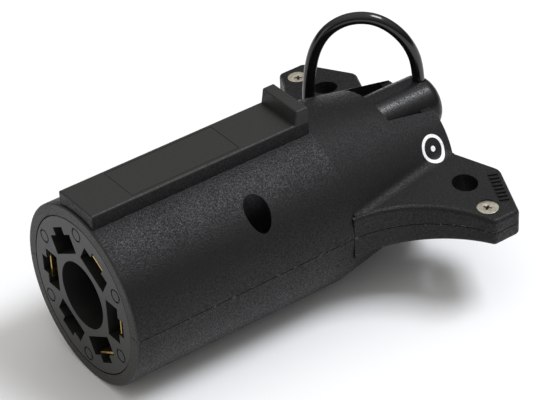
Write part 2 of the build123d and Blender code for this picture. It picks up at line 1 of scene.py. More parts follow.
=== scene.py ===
"""Looks for a trailer wiring adapter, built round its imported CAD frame.

Metres, in the frame of the CAD: +Y runs from the nose to the rear, +Z points to the key ridge and
+X across the wings. Run as a script, it makes every piece through its own operator.
"""

import math

import bpy
from bpy.props import FloatProperty, FloatVectorProperty, PointerProperty
from mathutils import Matrix, Vector


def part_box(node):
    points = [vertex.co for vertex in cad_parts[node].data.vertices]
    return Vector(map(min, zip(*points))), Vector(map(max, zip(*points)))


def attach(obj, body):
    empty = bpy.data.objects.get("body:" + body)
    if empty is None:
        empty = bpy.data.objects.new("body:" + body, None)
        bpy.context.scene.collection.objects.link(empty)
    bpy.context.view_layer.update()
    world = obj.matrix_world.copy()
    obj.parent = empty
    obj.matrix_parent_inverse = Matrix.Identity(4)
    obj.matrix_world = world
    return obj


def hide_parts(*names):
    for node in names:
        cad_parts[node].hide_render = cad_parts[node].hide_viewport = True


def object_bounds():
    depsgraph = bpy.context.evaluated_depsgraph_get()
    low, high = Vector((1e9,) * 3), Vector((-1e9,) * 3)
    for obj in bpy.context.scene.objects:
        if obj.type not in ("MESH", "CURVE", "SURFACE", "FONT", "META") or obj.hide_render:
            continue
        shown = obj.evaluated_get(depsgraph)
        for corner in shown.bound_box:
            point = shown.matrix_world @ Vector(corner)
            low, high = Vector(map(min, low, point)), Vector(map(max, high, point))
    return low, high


bl_info = {
    "name": "Trailer wiring adapter",
    "version": (1, 0, 0),
    "blender": (4, 5, 0),
    "location": "3D View > Sidebar > Adapter",
    "description": "Finishes and small pieces of a trailer wiring adapter",
    "category": "Object",
}

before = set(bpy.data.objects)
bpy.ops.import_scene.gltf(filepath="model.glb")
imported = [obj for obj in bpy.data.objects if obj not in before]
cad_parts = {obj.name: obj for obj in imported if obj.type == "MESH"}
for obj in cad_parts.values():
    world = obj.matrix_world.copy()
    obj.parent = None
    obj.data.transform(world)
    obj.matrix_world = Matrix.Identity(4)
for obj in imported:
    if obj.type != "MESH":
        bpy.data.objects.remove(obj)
cad_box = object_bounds()

MM = 0.001
BODY = "root"

# Where the housing's finishes change. The machined finish, smoother and with a painted sheen, reaches
# this far behind the nose face and below the key's top, the polish this far past the barrel, and the
# nicks this far from the parting line.
NOSE_SKIN = 0.3 * MM
RIDGE_SKIN = 0.4 * MM
BARREL_MARGIN = 0.1 * MM
NICK_REACH = 0.3 * MM

# The printed ink's outer face stands this far above the plastic. Its film reaches down from there
# and a little into the plastic, so that no gap shows under it.
INK_LIFT = 0.03 * MM
INK_THICKNESS = 0.05 * MM

# The point on the object that the camera faces.
AIM = Vector((0.012051, 0.045411, 0.012082))

# The loop of cord stands in the upright plane through its two holes. Each point is its distance
# from the rear hole towards the front one, and its height, in metres.
LOOP_ROUTE = [
    (0.0, 0.0131),
    (0.0, 0.0206),
    (0.0022, 0.0272),
    (0.0063, 0.0321),
    (0.0112, 0.0347),
    (0.0168, 0.0345),
    (0.0216, 0.0315),
    (0.0246, 0.0263),
    (0.0260, 0.0194),
    (0.0265, 0.0120),
    (0.0265, 0.0048),
]


def linear(code):
    """The linear colour of an sRGB hex value such as "2d2d2f"."""
    shares = [int(code[i : i + 2], 16) / 255 for i in (0, 2, 4)]
    return (*[c / 12.92 if c <= 0.04045 else ((c + 0.055) / 1.055) ** 2.4 for c in shares], 1.0)


# ---- Materials ----
def add(tree, kind, sockets=None, **settings):
    """Adds a node. settings are its own properties; each socket takes a value or another's output."""
    made = tree.nodes.new(kind)
    for name, value in settings.items():
        setattr(made, name, value)
    for socket, value in (sockets or {}).items():
        if isinstance(value, bpy.types.NodeSocket):
            tree.links.new(value, made.inputs[socket])
        else:
            made.inputs[socket].default_value = value
    return made


def begin(name, **sockets):
    """A new material: its node tree, and its shader with the sockets that are constant."""
    material = bpy.data.materials.new(name)
    material.use_nodes = True
    tree = material.node_tree
    tree.nodes.clear()
    constant = {key.replace("_", " "): value for key, value in sockets.items()}
    shader = add(tree, "ShaderNodeBsdfPrincipled", constant)
    add(tree, "ShaderNodeOutputMaterial", {"Surface": shader.outputs["BSDF"]})
    return material, tree, shader


def per_mm(size):
    """The scale of a noise whose features are that many millimetres across."""
    return 1 / (size * MM)


def housing_plastic(settings):
    """Black glass-filled nylon from a spark-eroded mould: a fine grain that sparkles where light
    grazes it. It is smoother where the mould was machined flat, on the key's top and the nose face,
    and painted paler and a little warmer there, a painted reflection of the bright room above and of
    the floor in front. It is glossier on the polished cord barrel, and has small pale nicks along the
    parting line."""
    nick_level = 0.61  # the parting line is nicked where its noise rises above this
    barrel_polish = -0.18  # what the polish takes off the barrel's roughness
    smooth_relief = 0.15  # the share of the grain's relief that smooth faces keep
    material, tree, shader = begin("black_nylon_spark_eroded", Specular_IOR_Level=0.26)
    place = add(tree, "ShaderNodeTexCoord").outputs["Object"]
    split = add(tree, "ShaderNodeSeparateXYZ", {"Vector": place})
    # the key's top lies below the stop, which is the housing's highest point
    ridge_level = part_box("upper_housing")[1].z - settings.stop_rise - RIDGE_SKIN
    on_ridge = add(
        tree, "ShaderNodeMath", {0: split.outputs["Z"], 1: ridge_level}, operation="GREATER_THAN"
    )
    on_nose = add(
        tree, "ShaderNodeMath", {0: split.outputs["Y"], 1: NOSE_SKIN}, operation="LESS_THAN"
    )
    smooth = add(
        tree, "ShaderNodeMath", {0: on_ridge.outputs[0], 1: on_nose.outputs[0]}, operation="MAXIMUM"
    )
    # the polished barrel is a round region about its own axis, behind the pocket's front
    at_barrel = add(
        tree, "ShaderNodeVectorMath", {0: place, 1: (0, 0, settings.barrel_height)},
        operation="SUBTRACT",
    )
    across = add(
        tree, "ShaderNodeVectorMath", {0: at_barrel.outputs[0], 1: (1, 0, 1)}, operation="MULTIPLY"
    )
    reach = add(tree, "ShaderNodeVectorMath", {0: across.outputs[0]}, operation="LENGTH")
    near_axis = add(
        tree, "ShaderNodeMath",
        {0: reach.outputs["Value"], 1: settings.barrel_radius + BARREL_MARGIN}, operation="LESS_THAN",
    )
    behind = add(
        tree, "ShaderNodeMath", {0: split.outputs["Y"], 1: settings.pocket_front},
        operation="GREATER_THAN",
    )
    barrel = add(
        tree, "ShaderNodeMath", {0: near_axis.outputs[0], 1: behind.outputs[0]},
        operation="MULTIPLY",
    )
    # one spark pit, of about 0.05 mm, is too fine to show, so pits are drawn run together into
    # grains of about 0.4 mm
    grain = add(
        tree, "ShaderNodeTexNoise",
        {"Vector": place, "Scale": per_mm(settings.grain), "Detail": 3.0, "Roughness": 0.7},
    )
    # handling marks of about 14 mm
    marks = add(tree, "ShaderNodeTexNoise", {"Vector": place, "Scale": per_mm(14), "Detail": 4.0})
    # nicks of about 1.2 mm where the halves were trimmed, close to the parting line
    nicks = add(
        tree, "ShaderNodeTexNoise", {"Vector": place, "Scale": per_mm(1.2), "Detail": 4.0}
    )
    height = add(tree, "ShaderNodeMath", {0: split.outputs["Z"]}, operation="ABSOLUTE")
    by_line = add(
        tree, "ShaderNodeMath", {0: height.outputs[0], 1: NICK_REACH}, operation="LESS_THAN"
    )
    nicked = add(
        tree, "ShaderNodeMath", {0: nicks.outputs["Fac"], 1: nick_level}, operation="GREATER_THAN"
    )
    worn = add(
        tree, "ShaderNodeMath", {0: by_line.outputs[0], 1: nicked.outputs[0]}, operation="MULTIPLY"
    )
    # the odd pit stands out pale against the rest
    specks = add(
        tree, "ShaderNodeMapRange",
        {"Value": grain.outputs["Fac"], "From Min": 0.46, "From Max": 0.66},
    )
    speckled = add(
        tree, "ShaderNodeMix",
        {0: specks.outputs["Result"], 6: settings.colour, 7: linear("1d1d1e")}, data_type="RGBA",
    )
    # the key's top and the nose face are painted paler and warmer: a painted reflection of the bright
    # room and the floor
    painted_sheen_on_machined = add(
        tree, "ShaderNodeMix",
        {0: smooth.outputs[0], 6: speckled.outputs[2], 7: linear("2b2b29")}, data_type="RGBA",
    )
    trimmed = add(
        tree, "ShaderNodeMix",
        {0: worn.outputs[0], 6: painted_sheen_on_machined.outputs[2], 7: linear("454546")}, data_type="RGBA",
    )
    tree.links.new(trimmed.outputs[2], shader.inputs["Base Color"])
    handled = add(
        tree, "ShaderNodeMapRange",
        {
            "Value": marks.outputs["Fac"], "From Min": 0.3, "From Max": 0.7,
            "To Min": 0.44, "To Max": 0.54,
        },
    )
    pitted = add(
        tree, "ShaderNodeMapRange",
        {
            "Value": grain.outputs["Fac"], "From Min": 0.38, "From Max": 0.62,
            "To Min": 0.2, "To Max": -0.2,
        },
    )
    rough = add(
        tree, "ShaderNodeMath", {0: handled.outputs["Result"], 1: pitted.outputs["Result"]},
        operation="ADD",
    )
    polish = add(
        tree, "ShaderNodeMath", {0: barrel.outputs[0], 1: barrel_polish, 2: rough.outputs[0]},
        operation="MULTIPLY_ADD",
    )
    tree.links.new(polish.outputs[0], shader.inputs["Roughness"])
    plain = add(
        tree, "ShaderNodeMath", {0: smooth.outputs[0], 1: barrel.outputs[0]}, operation="MAXIMUM"
    )
    fade = add(
        tree, "ShaderNodeMapRange",
        {"Value": plain.outputs[0], "To Min": 1.0, "To Max": smooth_relief},
    )
    bump = add(
        tree, "ShaderNodeBump",
        {"Strength": fade.outputs["Result"], "Distance": 0.12 * MM, "Height": grain.outputs["Fac"]},
    )
    tree.links.new(bump.outputs["Normal"], shader.inputs["Normal"])
    return material


def carrier_plastic(settings):
    """Satin black PBT, moulded against a turned and polished insert: a soft even sheen with faint
    flow marks."""
    material, tree, shader = begin("satin_pbt")
    place = add(tree, "ShaderNodeTexCoord").outputs["Object"]
    # flow marks of about 5 mm
    flow = add(
        tree, "ShaderNodeTexNoise",
        {"Vector": place, "Scale": per_mm(5), "Detail": 5.0, "Roughness": 0.65},
    )
    # the satin skin's own texture is too fine to show, so it is drawn at about 0.4 mm
    grain = add(tree, "ShaderNodeTexNoise", {"Vector": place, "Scale": per_mm(0.4), "Detail": 2.0})
    ramp = add(tree, "ShaderNodeValToRGB", {"Fac": flow.outputs["Fac"]})
    ramp.color_ramp.elements[0].color = settings.colour
    ramp.color_ramp.elements[1].color = linear("21211f")
    tree.links.new(ramp.outputs["Color"], shader.inputs["Base Color"])
    rough = add(
        tree, "ShaderNodeMapRange",
        {"Value": flow.outputs["Fac"], "To Min": 0.38, "To Max": 0.52},
    )
    tree.links.new(rough.outputs["Result"], shader.inputs["Roughness"])
    bump = add(
        tree, "ShaderNodeBump",
        {"Strength": 0.2, "Distance": 0.02 * MM, "Height": grain.outputs["Fac"]},
    )
    tree.links.new(bump.outputs["Normal"], shader.inputs["Normal"])
    return material


def outlet_rubber():
    """Moulded EPDM rubber: matt, with a faint bloom."""
    material, tree, shader = begin("moulded_epdm")
    place = add(tree, "ShaderNodeTexCoord").outputs["Object"]
    # patches of bloom, about 6 mm across
    bloom = add(tree, "ShaderNodeTexNoise", {"Vector": place, "Scale": per_mm(6), "Detail": 5.0})
    # the mould's matt grain, about 0.3 mm
    grain = add(tree, "ShaderNodeTexNoise", {"Vector": place, "Scale": per_mm(0.3), "Detail": 2.0})
    ramp = add(tree, "ShaderNodeValToRGB", {"Fac": bloom.outputs["Fac"]})
    ramp.color_ramp.elements[0].color = linear("131313")
    ramp.color_ramp.elements[1].color = linear("222221")
    tree.links.new(ramp.outputs["Color"], shader.inputs["Base Color"])
    rough = add(
        tree, "ShaderNodeMapRange",
        {"Value": bloom.outputs["Fac"], "To Min": 0.6, "To Max": 0.8},
    )
    tree.links.new(rough.outputs["Result"], shader.inputs["Roughness"])
    bump = add(
        tree, "ShaderNodeBump",
        {"Strength": 0.3, "Distance": 0.03 * MM, "Height": grain.outputs["Fac"]},
    )
    tree.links.new(bump.outputs["Normal"], shader.inputs["Normal"])
    return material


def stamped_brass():
    """Stamped yellow brass strip: bright, with fine rolling lines and a little brown tarnish."""
    material, tree, shader = begin("stamped_brass", Metallic=1.0)
    place = add(tree, "ShaderNodeTexCoord").outputs["Object"]
    # tarnish in patches of about 2.5 mm
    tarnish = add(
        tree, "ShaderNodeTexNoise",
        {"Vector": place, "Scale": per_mm(2.5), "Detail": 5.0, "Roughness": 0.7},
    )
    ramp = add(tree, "ShaderNodeValToRGB", {"Fac": tarnish.outputs["Fac"]})
    ramp.color_ramp.elements[0].color = linear("a8823e")
    ramp.color_ramp.elements[0].position = 0.35
    ramp.color_ramp.elements[1].color = linear("dcbf7c")
    ramp.color_ramp.elements[1].position = 0.7
    tree.links.new(ramp.outputs["Color"], shader.inputs["Base Color"])
    # rolling lines along the strip, too fine to show and so drawn 0.12 mm apart
    stretch = add(tree, "ShaderNodeMapping", {"Vector": place, "Scale": (1.0, 0.04, 1.0)})
    rolling = add(
        tree, "ShaderNodeTexNoise",
        {"Vector": stretch.outputs["Vector"], "Scale": per_mm(0.12), "Detail": 2.0},
    )
    rough = add(
        tree, "ShaderNodeMapRange",
        {"Value": tarnish.outputs["Fac"], "To Min": 0.2, "To Max": 0.42},
    )
    tree.links.new(rough.outputs["Result"], shader.inputs["Roughness"])
    bump = add(
        tree, "ShaderNodeBump",
        {"Strength": 0.25, "Distance": 0.01 * MM, "Height": rolling.outputs["Fac"]},
    )
    tree.links.new(bump.outputs["Normal"], shader.inputs["Normal"])
    return material


def zinc_plate(recess_level):
    """Bright zinc plated steel: pale silver with a warm cast, slightly cloudy, and painted darker
    below recess_level, a painted shade where only the driver recess can be seen."""
    material, tree, shader = begin("zinc_plated_steel", Metallic=1.0)
    place = add(tree, "ShaderNodeTexCoord").outputs["Object"]
    # clouds in the plating, about 0.8 mm across
    cloud = add(
        tree, "ShaderNodeTexNoise",
        {"Vector": place, "Scale": per_mm(0.8), "Detail": 5.0, "Roughness": 0.7},
    )
    ramp = add(tree, "ShaderNodeValToRGB", {"Fac": cloud.outputs["Fac"]})
    ramp.color_ramp.elements[0].color = linear("b5ae9b")
    ramp.color_ramp.elements[0].position = 0.35
    ramp.color_ramp.elements[1].color = linear("dcd6c8")
    ramp.color_ramp.elements[1].position = 0.65
    height = add(tree, "ShaderNodeSeparateXYZ", {"Vector": place}).outputs["Z"]
    # below recess_level the plating's colour is darkened: painted shade for the driver recess
    sunk = add(tree, "ShaderNodeMath", {0: height, 1: recess_level}, operation="LESS_THAN")
    painted_recess_shade = add(
        tree, "ShaderNodeMix",
        {0: sunk.outputs[0], 6: ramp.outputs["Color"], 7: linear("5e5848")}, data_type="RGBA",
    )
    tree.links.new(painted_recess_shade.outputs[2], shader.inputs["Base Color"])
    rough = add(
        tree, "ShaderNodeMapRange",
        {"Value": cloud.outputs["Fac"], "To Min": 0.3, "To Max": 0.5},
    )
    tree.links.new(rough.outputs["Result"], shader.inputs["Roughness"])
    bump = add(
        tree, "ShaderNodeBump",
        {"Strength": 0.2, "Distance": 0.02 * MM, "Height": cloud.outputs["Fac"]},
    )
    tree.links.new(bump.outputs["Normal"], shader.inputs["Normal"])
    return material


def crimped_aluminium():
    """Drawn aluminium sleeve: grey, satin, with draw lines along it."""
    material, tree, shader = begin("drawn_aluminium", Metallic=1.0, Base_Color=linear("b9bbbd"))
    place = add(tree, "ShaderNodeTexCoord").outputs["Object"]
    # draw lines along the sleeve, too fine to show and so drawn 0.1 mm apart
    stretch = add(tree, "ShaderNodeMapping", {"Vector": place, "Scale": (1.0, 1.0, 0.05)})
    lines = add(
        tree, "ShaderNodeTexNoise",
        {"Vector": stretch.outputs["Vector"], "Scale": per_mm(0.1), "Detail": 2.0},
    )
    rough = add(
        tree, "ShaderNodeMapRange",
        {"Value": lines.outputs["Fac"], "To Min": 0.3, "To Max": 0.5},
    )
    tree.links.new(rough.outputs["Result"], shader.inputs["Roughness"])
    bump = add(
        tree, "ShaderNodeBump",
        {"Strength": 0.2, "Distance": 0.01 * MM, "Height": lines.outputs["Fac"]},
    )
    tree.links.new(bump.outputs["Normal"], shader.inputs["Normal"])
    return material


def glossy_vinyl(name, colour):
    """Extruded PVC: a wet gloss over even colour, with a very slight waviness from the die."""
    material, tree, shader = begin(name, Base_Color=colour, IOR=1.53)
    place = add(tree, "ShaderNodeTexCoord").outputs["Object"]
    # waves from the die, about 2.2 mm long
    wave = add(tree, "ShaderNodeTexNoise", {"Vector": place, "Scale": per_mm(2.2), "Detail": 3.0})
    rough = add(
        tree, "ShaderNodeMapRange",
        {"Value": wave.outputs["Fac"], "To Min": 0.1, "To Max": 0.2},
    )
    tree.links.new(rough.outputs["Result"], shader.inputs["Roughness"])
    bump = add(
        tree, "ShaderNodeBump",
        {"Strength": 0.15, "Distance": 0.04 * MM, "Height": wave.outputs["Fac"]},
    )
    tree.links.new(bump.outputs["Normal"], shader.inputs["Normal"])
    return material


def pad_ink(settings):
    """White pad-printing ink: opaque and flat, thinned to grey in small pinholes."""
    material, tree, shader = begin("white_pad_ink", Roughness=0.55)
    place = add(tree, "ShaderNodeTexCoord").outputs["Object"]
    # pinholes of about 0.3 mm
    holes = add(tree, "ShaderNodeTexNoise", {"Vector": place, "Scale": per_mm(0.3), "Detail": 3.0})
    ramp = add(tree, "ShaderNodeValToRGB", {"Fac": holes.outputs["Fac"]})
    ramp.color_ramp.elements[0].color = linear("a9a9aa")
    ramp.color_ramp.elements[0].position = 0.28
    ramp.color_ramp.elements[1].color = settings.colour
    ramp.color_ramp.elements[1].position = 0.42
    tree.links.new(ramp.outputs["Color"], shader.inputs["Base Color"])
    bump = add(
        tree, "ShaderNodeBump",
        {"Strength": 0.2, "Distance": 0.02 * MM, "Height": holes.outputs["Fac"]},
    )
    tree.links.new(bump.outputs["Normal"], shader.inputs["Normal"])
    return material


def give(piece, material):
    """Gives a piece that one material."""
    piece.data.materials.clear()
    piece.data.materials.append(material)


# ---- Modelling helpers ----
def deselect():
    """Leaves nothing selected, so that the next operator acts only on what it adds."""
    if bpy.context.object and bpy.context.object.mode != "OBJECT":
        bpy.ops.object.mode_set(mode="OBJECT")
    bpy.ops.object.select_all(action="DESELECT")


def select_verts(piece, test):
    """In edit mode, selects the vertices that pass a test, and nothing else."""
    bpy.ops.mesh.select_mode(type="VERT")
    bpy.ops.mesh.select_all(action="DESELECT")
    bpy.ops.object.mode_set(mode="OBJECT")
    for vertex in piece.data.vertices:
        vertex.select = test(vertex.co)
    bpy.ops.object.mode_set(mode="EDIT")


def apply_modifier(piece, kind, **settings):
    """Adds a modifier with its settings and applies it."""
    deselect()
    piece.select_set(True)
    bpy.context.view_layer.objects.active = piece
    modifier = piece.modifiers.new(kind.title(), kind)
    for name, value in settings.items():
        setattr(modifier, name, value)
    bpy.ops.object.modifier_apply(modifier=modifier.name)


def settle(piece, angle=30):
    """Puts a piece's place, turn and scale into its mesh, and smooths it up to an angle."""
    deselect()
    piece.select_set(True)
    bpy.context.view_layer.objects.active = piece
    bpy.ops.object.transform_apply(location=True, rotation=True, scale=True)
    bpy.ops.object.shade_smooth_by_angle(angle=math.radians(angle))


# ---- Settings ----
class CordSettings(bpy.types.PropertyGroup):
    """The coated cord that stands up in a loop."""

    diameter: FloatProperty(
        name="Diameter", description="Outer diameter of the coated cord",
        default=0.0030, unit="LENGTH",
    )
    length: FloatProperty(
        name="Length", description="Length of the cord between its two ends",
        default=0.0647, unit="LENGTH",
    )
    colour: FloatVectorProperty(
        name="Colour", description="Colour of the coating",
        subtype="COLOR", size=4, default=linear("0e0e10"),
    )


class HousingSettings(bpy.types.PropertyGroup):
    """The two halves of the housing."""

    colour: FloatVectorProperty(
        name="Colour", description="Colour of the plastic",
        subtype="COLOR", size=4, default=linear("090909"),
    )
    grain: FloatProperty(
        name="Grain", description="Width of the surface grain, in millimetres",
        default=0.4,
    )
    stop_rise: FloatProperty(
        name="Stop rise", description="Height of the stop above the key's top",
        default=0.00355, unit="LENGTH",
    )
    barrel_height: FloatProperty(
        name="Barrel height", description="Height of the barrel's axis",
        default=0.0103, unit="LENGTH",
    )
    barrel_radius: FloatProperty(
        name="Barrel radius", description="Radius of the cord barrel", default=0.007, unit="LENGTH"
    )
    pocket_front: FloatProperty(
        name="Pocket front", description="Where the barrel's pocket begins",
        default=0.0812, unit="LENGTH",
    )


class CarrierSettings(bpy.types.PropertyGroup):
    """The round insert in the nose."""

    colour: FloatVectorProperty(
        name="Colour", description="Colour of the plastic",
        subtype="COLOR", size=4, default=linear("161615"),
    )


class ScrewSettings(bpy.types.PropertyGroup):
    """The cross-head screws."""

    recess_length: FloatProperty(
        name="Recess length", description="Length of the cross recess",
        default=0.0029, unit="LENGTH",
    )
    recess_width: FloatProperty(
        name="Recess width", description="Width of the recess's arms",
        default=0.00072, unit="LENGTH",
    )
    recess_depth: FloatProperty(
        name="Recess depth", description="Depth of the cross recess", default=0.0011, unit="LENGTH"
    )


class MarkSettings(bpy.types.PropertyGroup):
    """The plain printed ring on the flank."""

    radius: FloatProperty(
        name="Radius", description="Outer radius of the ring",
        default=0.00345, unit="LENGTH",
    )
    band: FloatProperty(
        name="Band", description="Width of the ring's line",
        default=0.0008, unit="LENGTH",
    )
    dot: FloatProperty(
        name="Dot", description="Radius of the centre dot",
        default=0.0007, unit="LENGTH",
    )
    angle: FloatProperty(
        name="Angle", description="Turn from the top of the body",
        default=math.radians(60.6), unit="ROTATION",
    )
    setback: FloatProperty(
        name="Setback", description="Distance from the nose face", default=0.08936, unit="LENGTH"
    )
    colour: FloatVectorProperty(
        name="Colour", description="Colour of the ink",
        subtype="COLOR", size=4, default=linear("f1f1f1"),
    )


class StageSettings(bpy.types.PropertyGroup):
    """The floor, lights and camera."""

    azimuth: FloatProperty(
        name="Azimuth", description="Camera's turn round the object",
        default=math.radians(55.06), unit="ROTATION",
    )
    elevation: FloatProperty(
        name="Elevation", description="Camera's height above the horizon",
        default=math.radians(35.337),
        unit="ROTATION",
    )
    roll: FloatProperty(
        name="Roll", description="Camera's roll about its view",
        default=math.radians(-2.856), unit="ROTATION",
    )
    distance: FloatProperty(
        name="Distance", description="Camera's distance from its aim",
        default=0.560741, unit="LENGTH",
    )
    lens: FloatProperty(name="Lens", description="Focal length in millimetres", default=162.09)
    floor: FloatVectorProperty(
        name="Floor", description="Colour of the floor",
        subtype="COLOR", size=4, default=linear("f4f4f4"),
    )


# ---- Pieces ----
class ADAPTER_OT_cord_loop(bpy.types.Operator):
    """Make the loop of coated cord between its two holes"""

    bl_idname = "adapter.cord_loop"
    bl_label = "Cord loop"

    def execute(self, context):
        settings = context.scene.adapter_cord
        radius = settings.diameter / 2
        low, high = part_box("cord_loop")
        rear = Vector((high.x - radius, high.y - radius, 0))
        front = Vector((low.x + radius, low.y + radius, 0))
        along = (front - rear).normalized()
        points = [rear + along * out + Vector((0, 0, height)) for out, height in LOOP_ROUTE]
        curve = bpy.data.curves.new("coated_cord_loop", "CURVE")
        curve.dimensions = "3D"
        curve.bevel_depth = radius
        curve.bevel_resolution = 10
        curve.resolution_u = 20
        curve.use_fill_caps = True
        spline = curve.splines.new("NURBS")
        spline.points.add(len(points) - 1)
        for point, place in zip(spline.points, points):
            point.co = (*place, 1)
        spline.order_u = 3
        spline.use_endpoint_u = True
        loop = bpy.data.objects.new("coated_cord_loop", curve)
        context.collection.objects.link(loop)
        give(loop, glossy_vinyl("glossy_vinyl_coating", settings.colour))
        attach(loop, BODY)
        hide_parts("cord_loop")
        give(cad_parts["loop_ferrules"], crimped_aluminium())
        return {"FINISHED"}


class ADAPTER_OT_housing(bpy.types.Operator):
    """Finish both halves of the housing in grained black plastic"""

    bl_idname = "adapter.housing"
    bl_label = "Housing"

    def execute(self, context):
        material = housing_plastic(context.scene.adapter_housing)
        for name in ("upper_housing", "lower_housing"):
            give(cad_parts[name], material)
        return {"FINISHED"}


class ADAPTER_OT_contact_carrier(bpy.types.Operator):
    """Finish the round insert in satin black plastic"""

    bl_idname = "adapter.contact_carrier"
    bl_label = "Contact carrier"

    def execute(self, context):
        give(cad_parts["contact_carrier"], carrier_plastic(context.scene.adapter_carrier))
        return {"FINISHED"}


class ADAPTER_OT_contacts(bpy.types.Operator):
    """Finish the blade contacts, the outlet sockets and the ground pin in brass"""

    bl_idname = "adapter.contacts"
    bl_label = "Contacts"

    def execute(self, context):
        material = stamped_brass()
        for name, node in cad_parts.items():
            if name.endswith(("_contact", "_socket", "_pin")):
                give(node, material)
        return {"FINISHED"}


class ADAPTER_OT_outlet(bpy.types.Operator):
    """Finish the flat outlet in moulded rubber"""

    bl_idname = "adapter.outlet"
    bl_label = "Flat outlet"

    def execute(self, context):
        give(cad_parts["outlet_block"], outlet_rubber())
        return {"FINISHED"}


class ADAPTER_OT_jumper_wires(bpy.types.Operator):
    """Finish the four jumper wires in their circuit colours"""

    bl_idname = "adapter.jumper_wires"
    bl_label = "Jumper wires"

    def execute(self, context):
        colours = {"tail": "5a3216", "left_turn": "e0b414", "ground": "dededa", "right_turn": "1f7a36"}
        for circuit, code in colours.items():
            vinyl = glossy_vinyl(f"{circuit}_wire_vinyl", linear(code))
            give(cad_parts[f"{circuit}_wire"], vinyl)
        return {"FINISHED"}


def cut_cross(screw, settings):
    """Sinks the cross recess into the top of a screw that stands with its top at the origin."""
    arm_foot = (0.45, 0.6, 1)  # an arm's foot against its top, along and across it
    tip_radius = 0.1 * MM  # at the foot of the centre hole's cutter
    mouth_share = 1.15  # the radius of that cutter's top against the width of an arm
    hole_share = 1.2  # the centre hole's depth against the arms'
    depth = settings.recess_depth
    for turn in (0, 90):
        deselect()
        size = (settings.recess_length, settings.recess_width, 2 * depth)
        bpy.ops.mesh.primitive_cube_add(size=1, scale=size)
        cutter = bpy.context.object
        bpy.ops.object.transform_apply(scale=True)
        bpy.ops.object.mode_set(mode="EDIT")
        select_verts(cutter, lambda co: co.z < 0)
        bpy.ops.transform.resize(value=arm_foot)
        bpy.ops.object.mode_set(mode="OBJECT")
        cutter.rotation_euler.z = math.radians(turn)
        apply_modifier(screw, "BOOLEAN", object=cutter, operation="DIFFERENCE", solver="EXACT")
        bpy.data.objects.remove(cutter)
    deselect()
    bpy.ops.mesh.primitive_cone_add(
        vertices=32, radius1=tip_radius, radius2=settings.recess_width * mouth_share,
        depth=2 * hole_share * depth,
    )
    cutter = bpy.context.object
    apply_modifier(screw, "BOOLEAN", object=cutter, operation="DIFFERENCE", solver="EXACT")
    bpy.data.objects.remove(cutter)


def cross_head_screw(name, head_radius, head_depth, shank_radius, length, rim, settings, flush):
    """A cross-head screw with its top at the origin, as one closed mesh. A flush head tapers to the
    shank; a pan head has a rounded rim. The shank ends in a point as long as it is thick."""
    point_share = 0.25  # the width of the point's end against the shank's
    tip = 2 * shank_radius
    deselect()
    bpy.ops.mesh.primitive_cylinder_add(
        vertices=64, radius=head_radius, depth=head_depth, location=(0, 0, -head_depth / 2)
    )
    screw = bpy.context.object
    screw.name = name
    bpy.ops.object.transform_apply(location=True)
    bpy.ops.object.mode_set(mode="EDIT")
    middle = -head_depth / 2
    select_verts(screw, lambda co: co.z < middle)
    if flush:
        share = shank_radius / head_radius
        bpy.ops.transform.resize(value=(share, share, 1))
    else:
        bpy.ops.mesh.select_mode(type="FACE")
        bpy.ops.mesh.inset(thickness=head_radius - shank_radius)
    bpy.ops.mesh.select_mode(type="FACE")
    for drop in (length - tip - head_depth, tip):
        bpy.ops.mesh.extrude_region_move(TRANSFORM_OT_translate={"value": (0, 0, -drop)})
    bpy.ops.transform.resize(value=(point_share, point_share, 1))
    select_verts(screw, lambda co: co.z > -0.01 * MM)
    bpy.ops.mesh.select_mode(type="EDGE")
    bpy.ops.mesh.bevel(offset=rim, segments=5, affect="EDGES")
    bpy.ops.object.mode_set(mode="OBJECT")
    cut_cross(screw, settings)
    apply_modifier(screw, "WELD", merge_threshold=0.002 * MM)
    apply_modifier(
        screw, "BEVEL",
        width=0.04 * MM, segments=2, limit_method="ANGLE", angle_limit=math.radians(40),
    )
    return screw


def stand_screws(screw, node, turn, material):
    """Places one screw and its copy at both ends of a CAD node of two screws."""
    low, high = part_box(node)
    radius = (high.y - low.y) / 2
    base = screw.name
    for side, label in ((1, "right"), (-1, "left")):
        deselect()
        screw.select_set(True)
        bpy.context.view_layer.objects.active = screw
        bpy.ops.object.duplicate(linked=False)
        copy = bpy.context.object
        copy.name = f"{base}_{label}"
        copy.location = (side * (high.x - radius), (low.y + high.y) / 2, high.z)
        copy.rotation_euler.z = math.radians(turn * side)
        settle(copy, 35)
        give(copy, material)
        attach(copy, BODY)
        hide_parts(node)
    bpy.data.objects.remove(screw)


class ADAPTER_OT_screws(bpy.types.Operator):
    """Make the two flush wing screws and the two sunk body screws"""

    bl_idname = "adapter.screws"
    bl_label = "Screws"

    def execute(self, context):
        settings = context.scene.adapter_screws
        # depth of the head, radius of the shank, the rim's round, and the recess's turn in degrees
        for name, node, depth, shank, rim, turn, flush in (
            ("wing_screw", "wing_screws", 1.5 * MM, 1.2 * MM, 0.12 * MM, 35, True),
            ("body_screw", "body_screws", 2.0 * MM, 1.5 * MM, 0.8 * MM, 20, False),
        ):
            low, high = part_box(node)
            radius = (high.y - low.y) / 2
            screw = cross_head_screw(name, radius, depth, shank, high.z - low.z, rim, settings, flush)
            recess_level = high.z - rim - 0.1 * MM  # just below the round of the rim
            stand_screws(screw, node, turn, zinc_plate(recess_level))
        return {"FINISHED"}


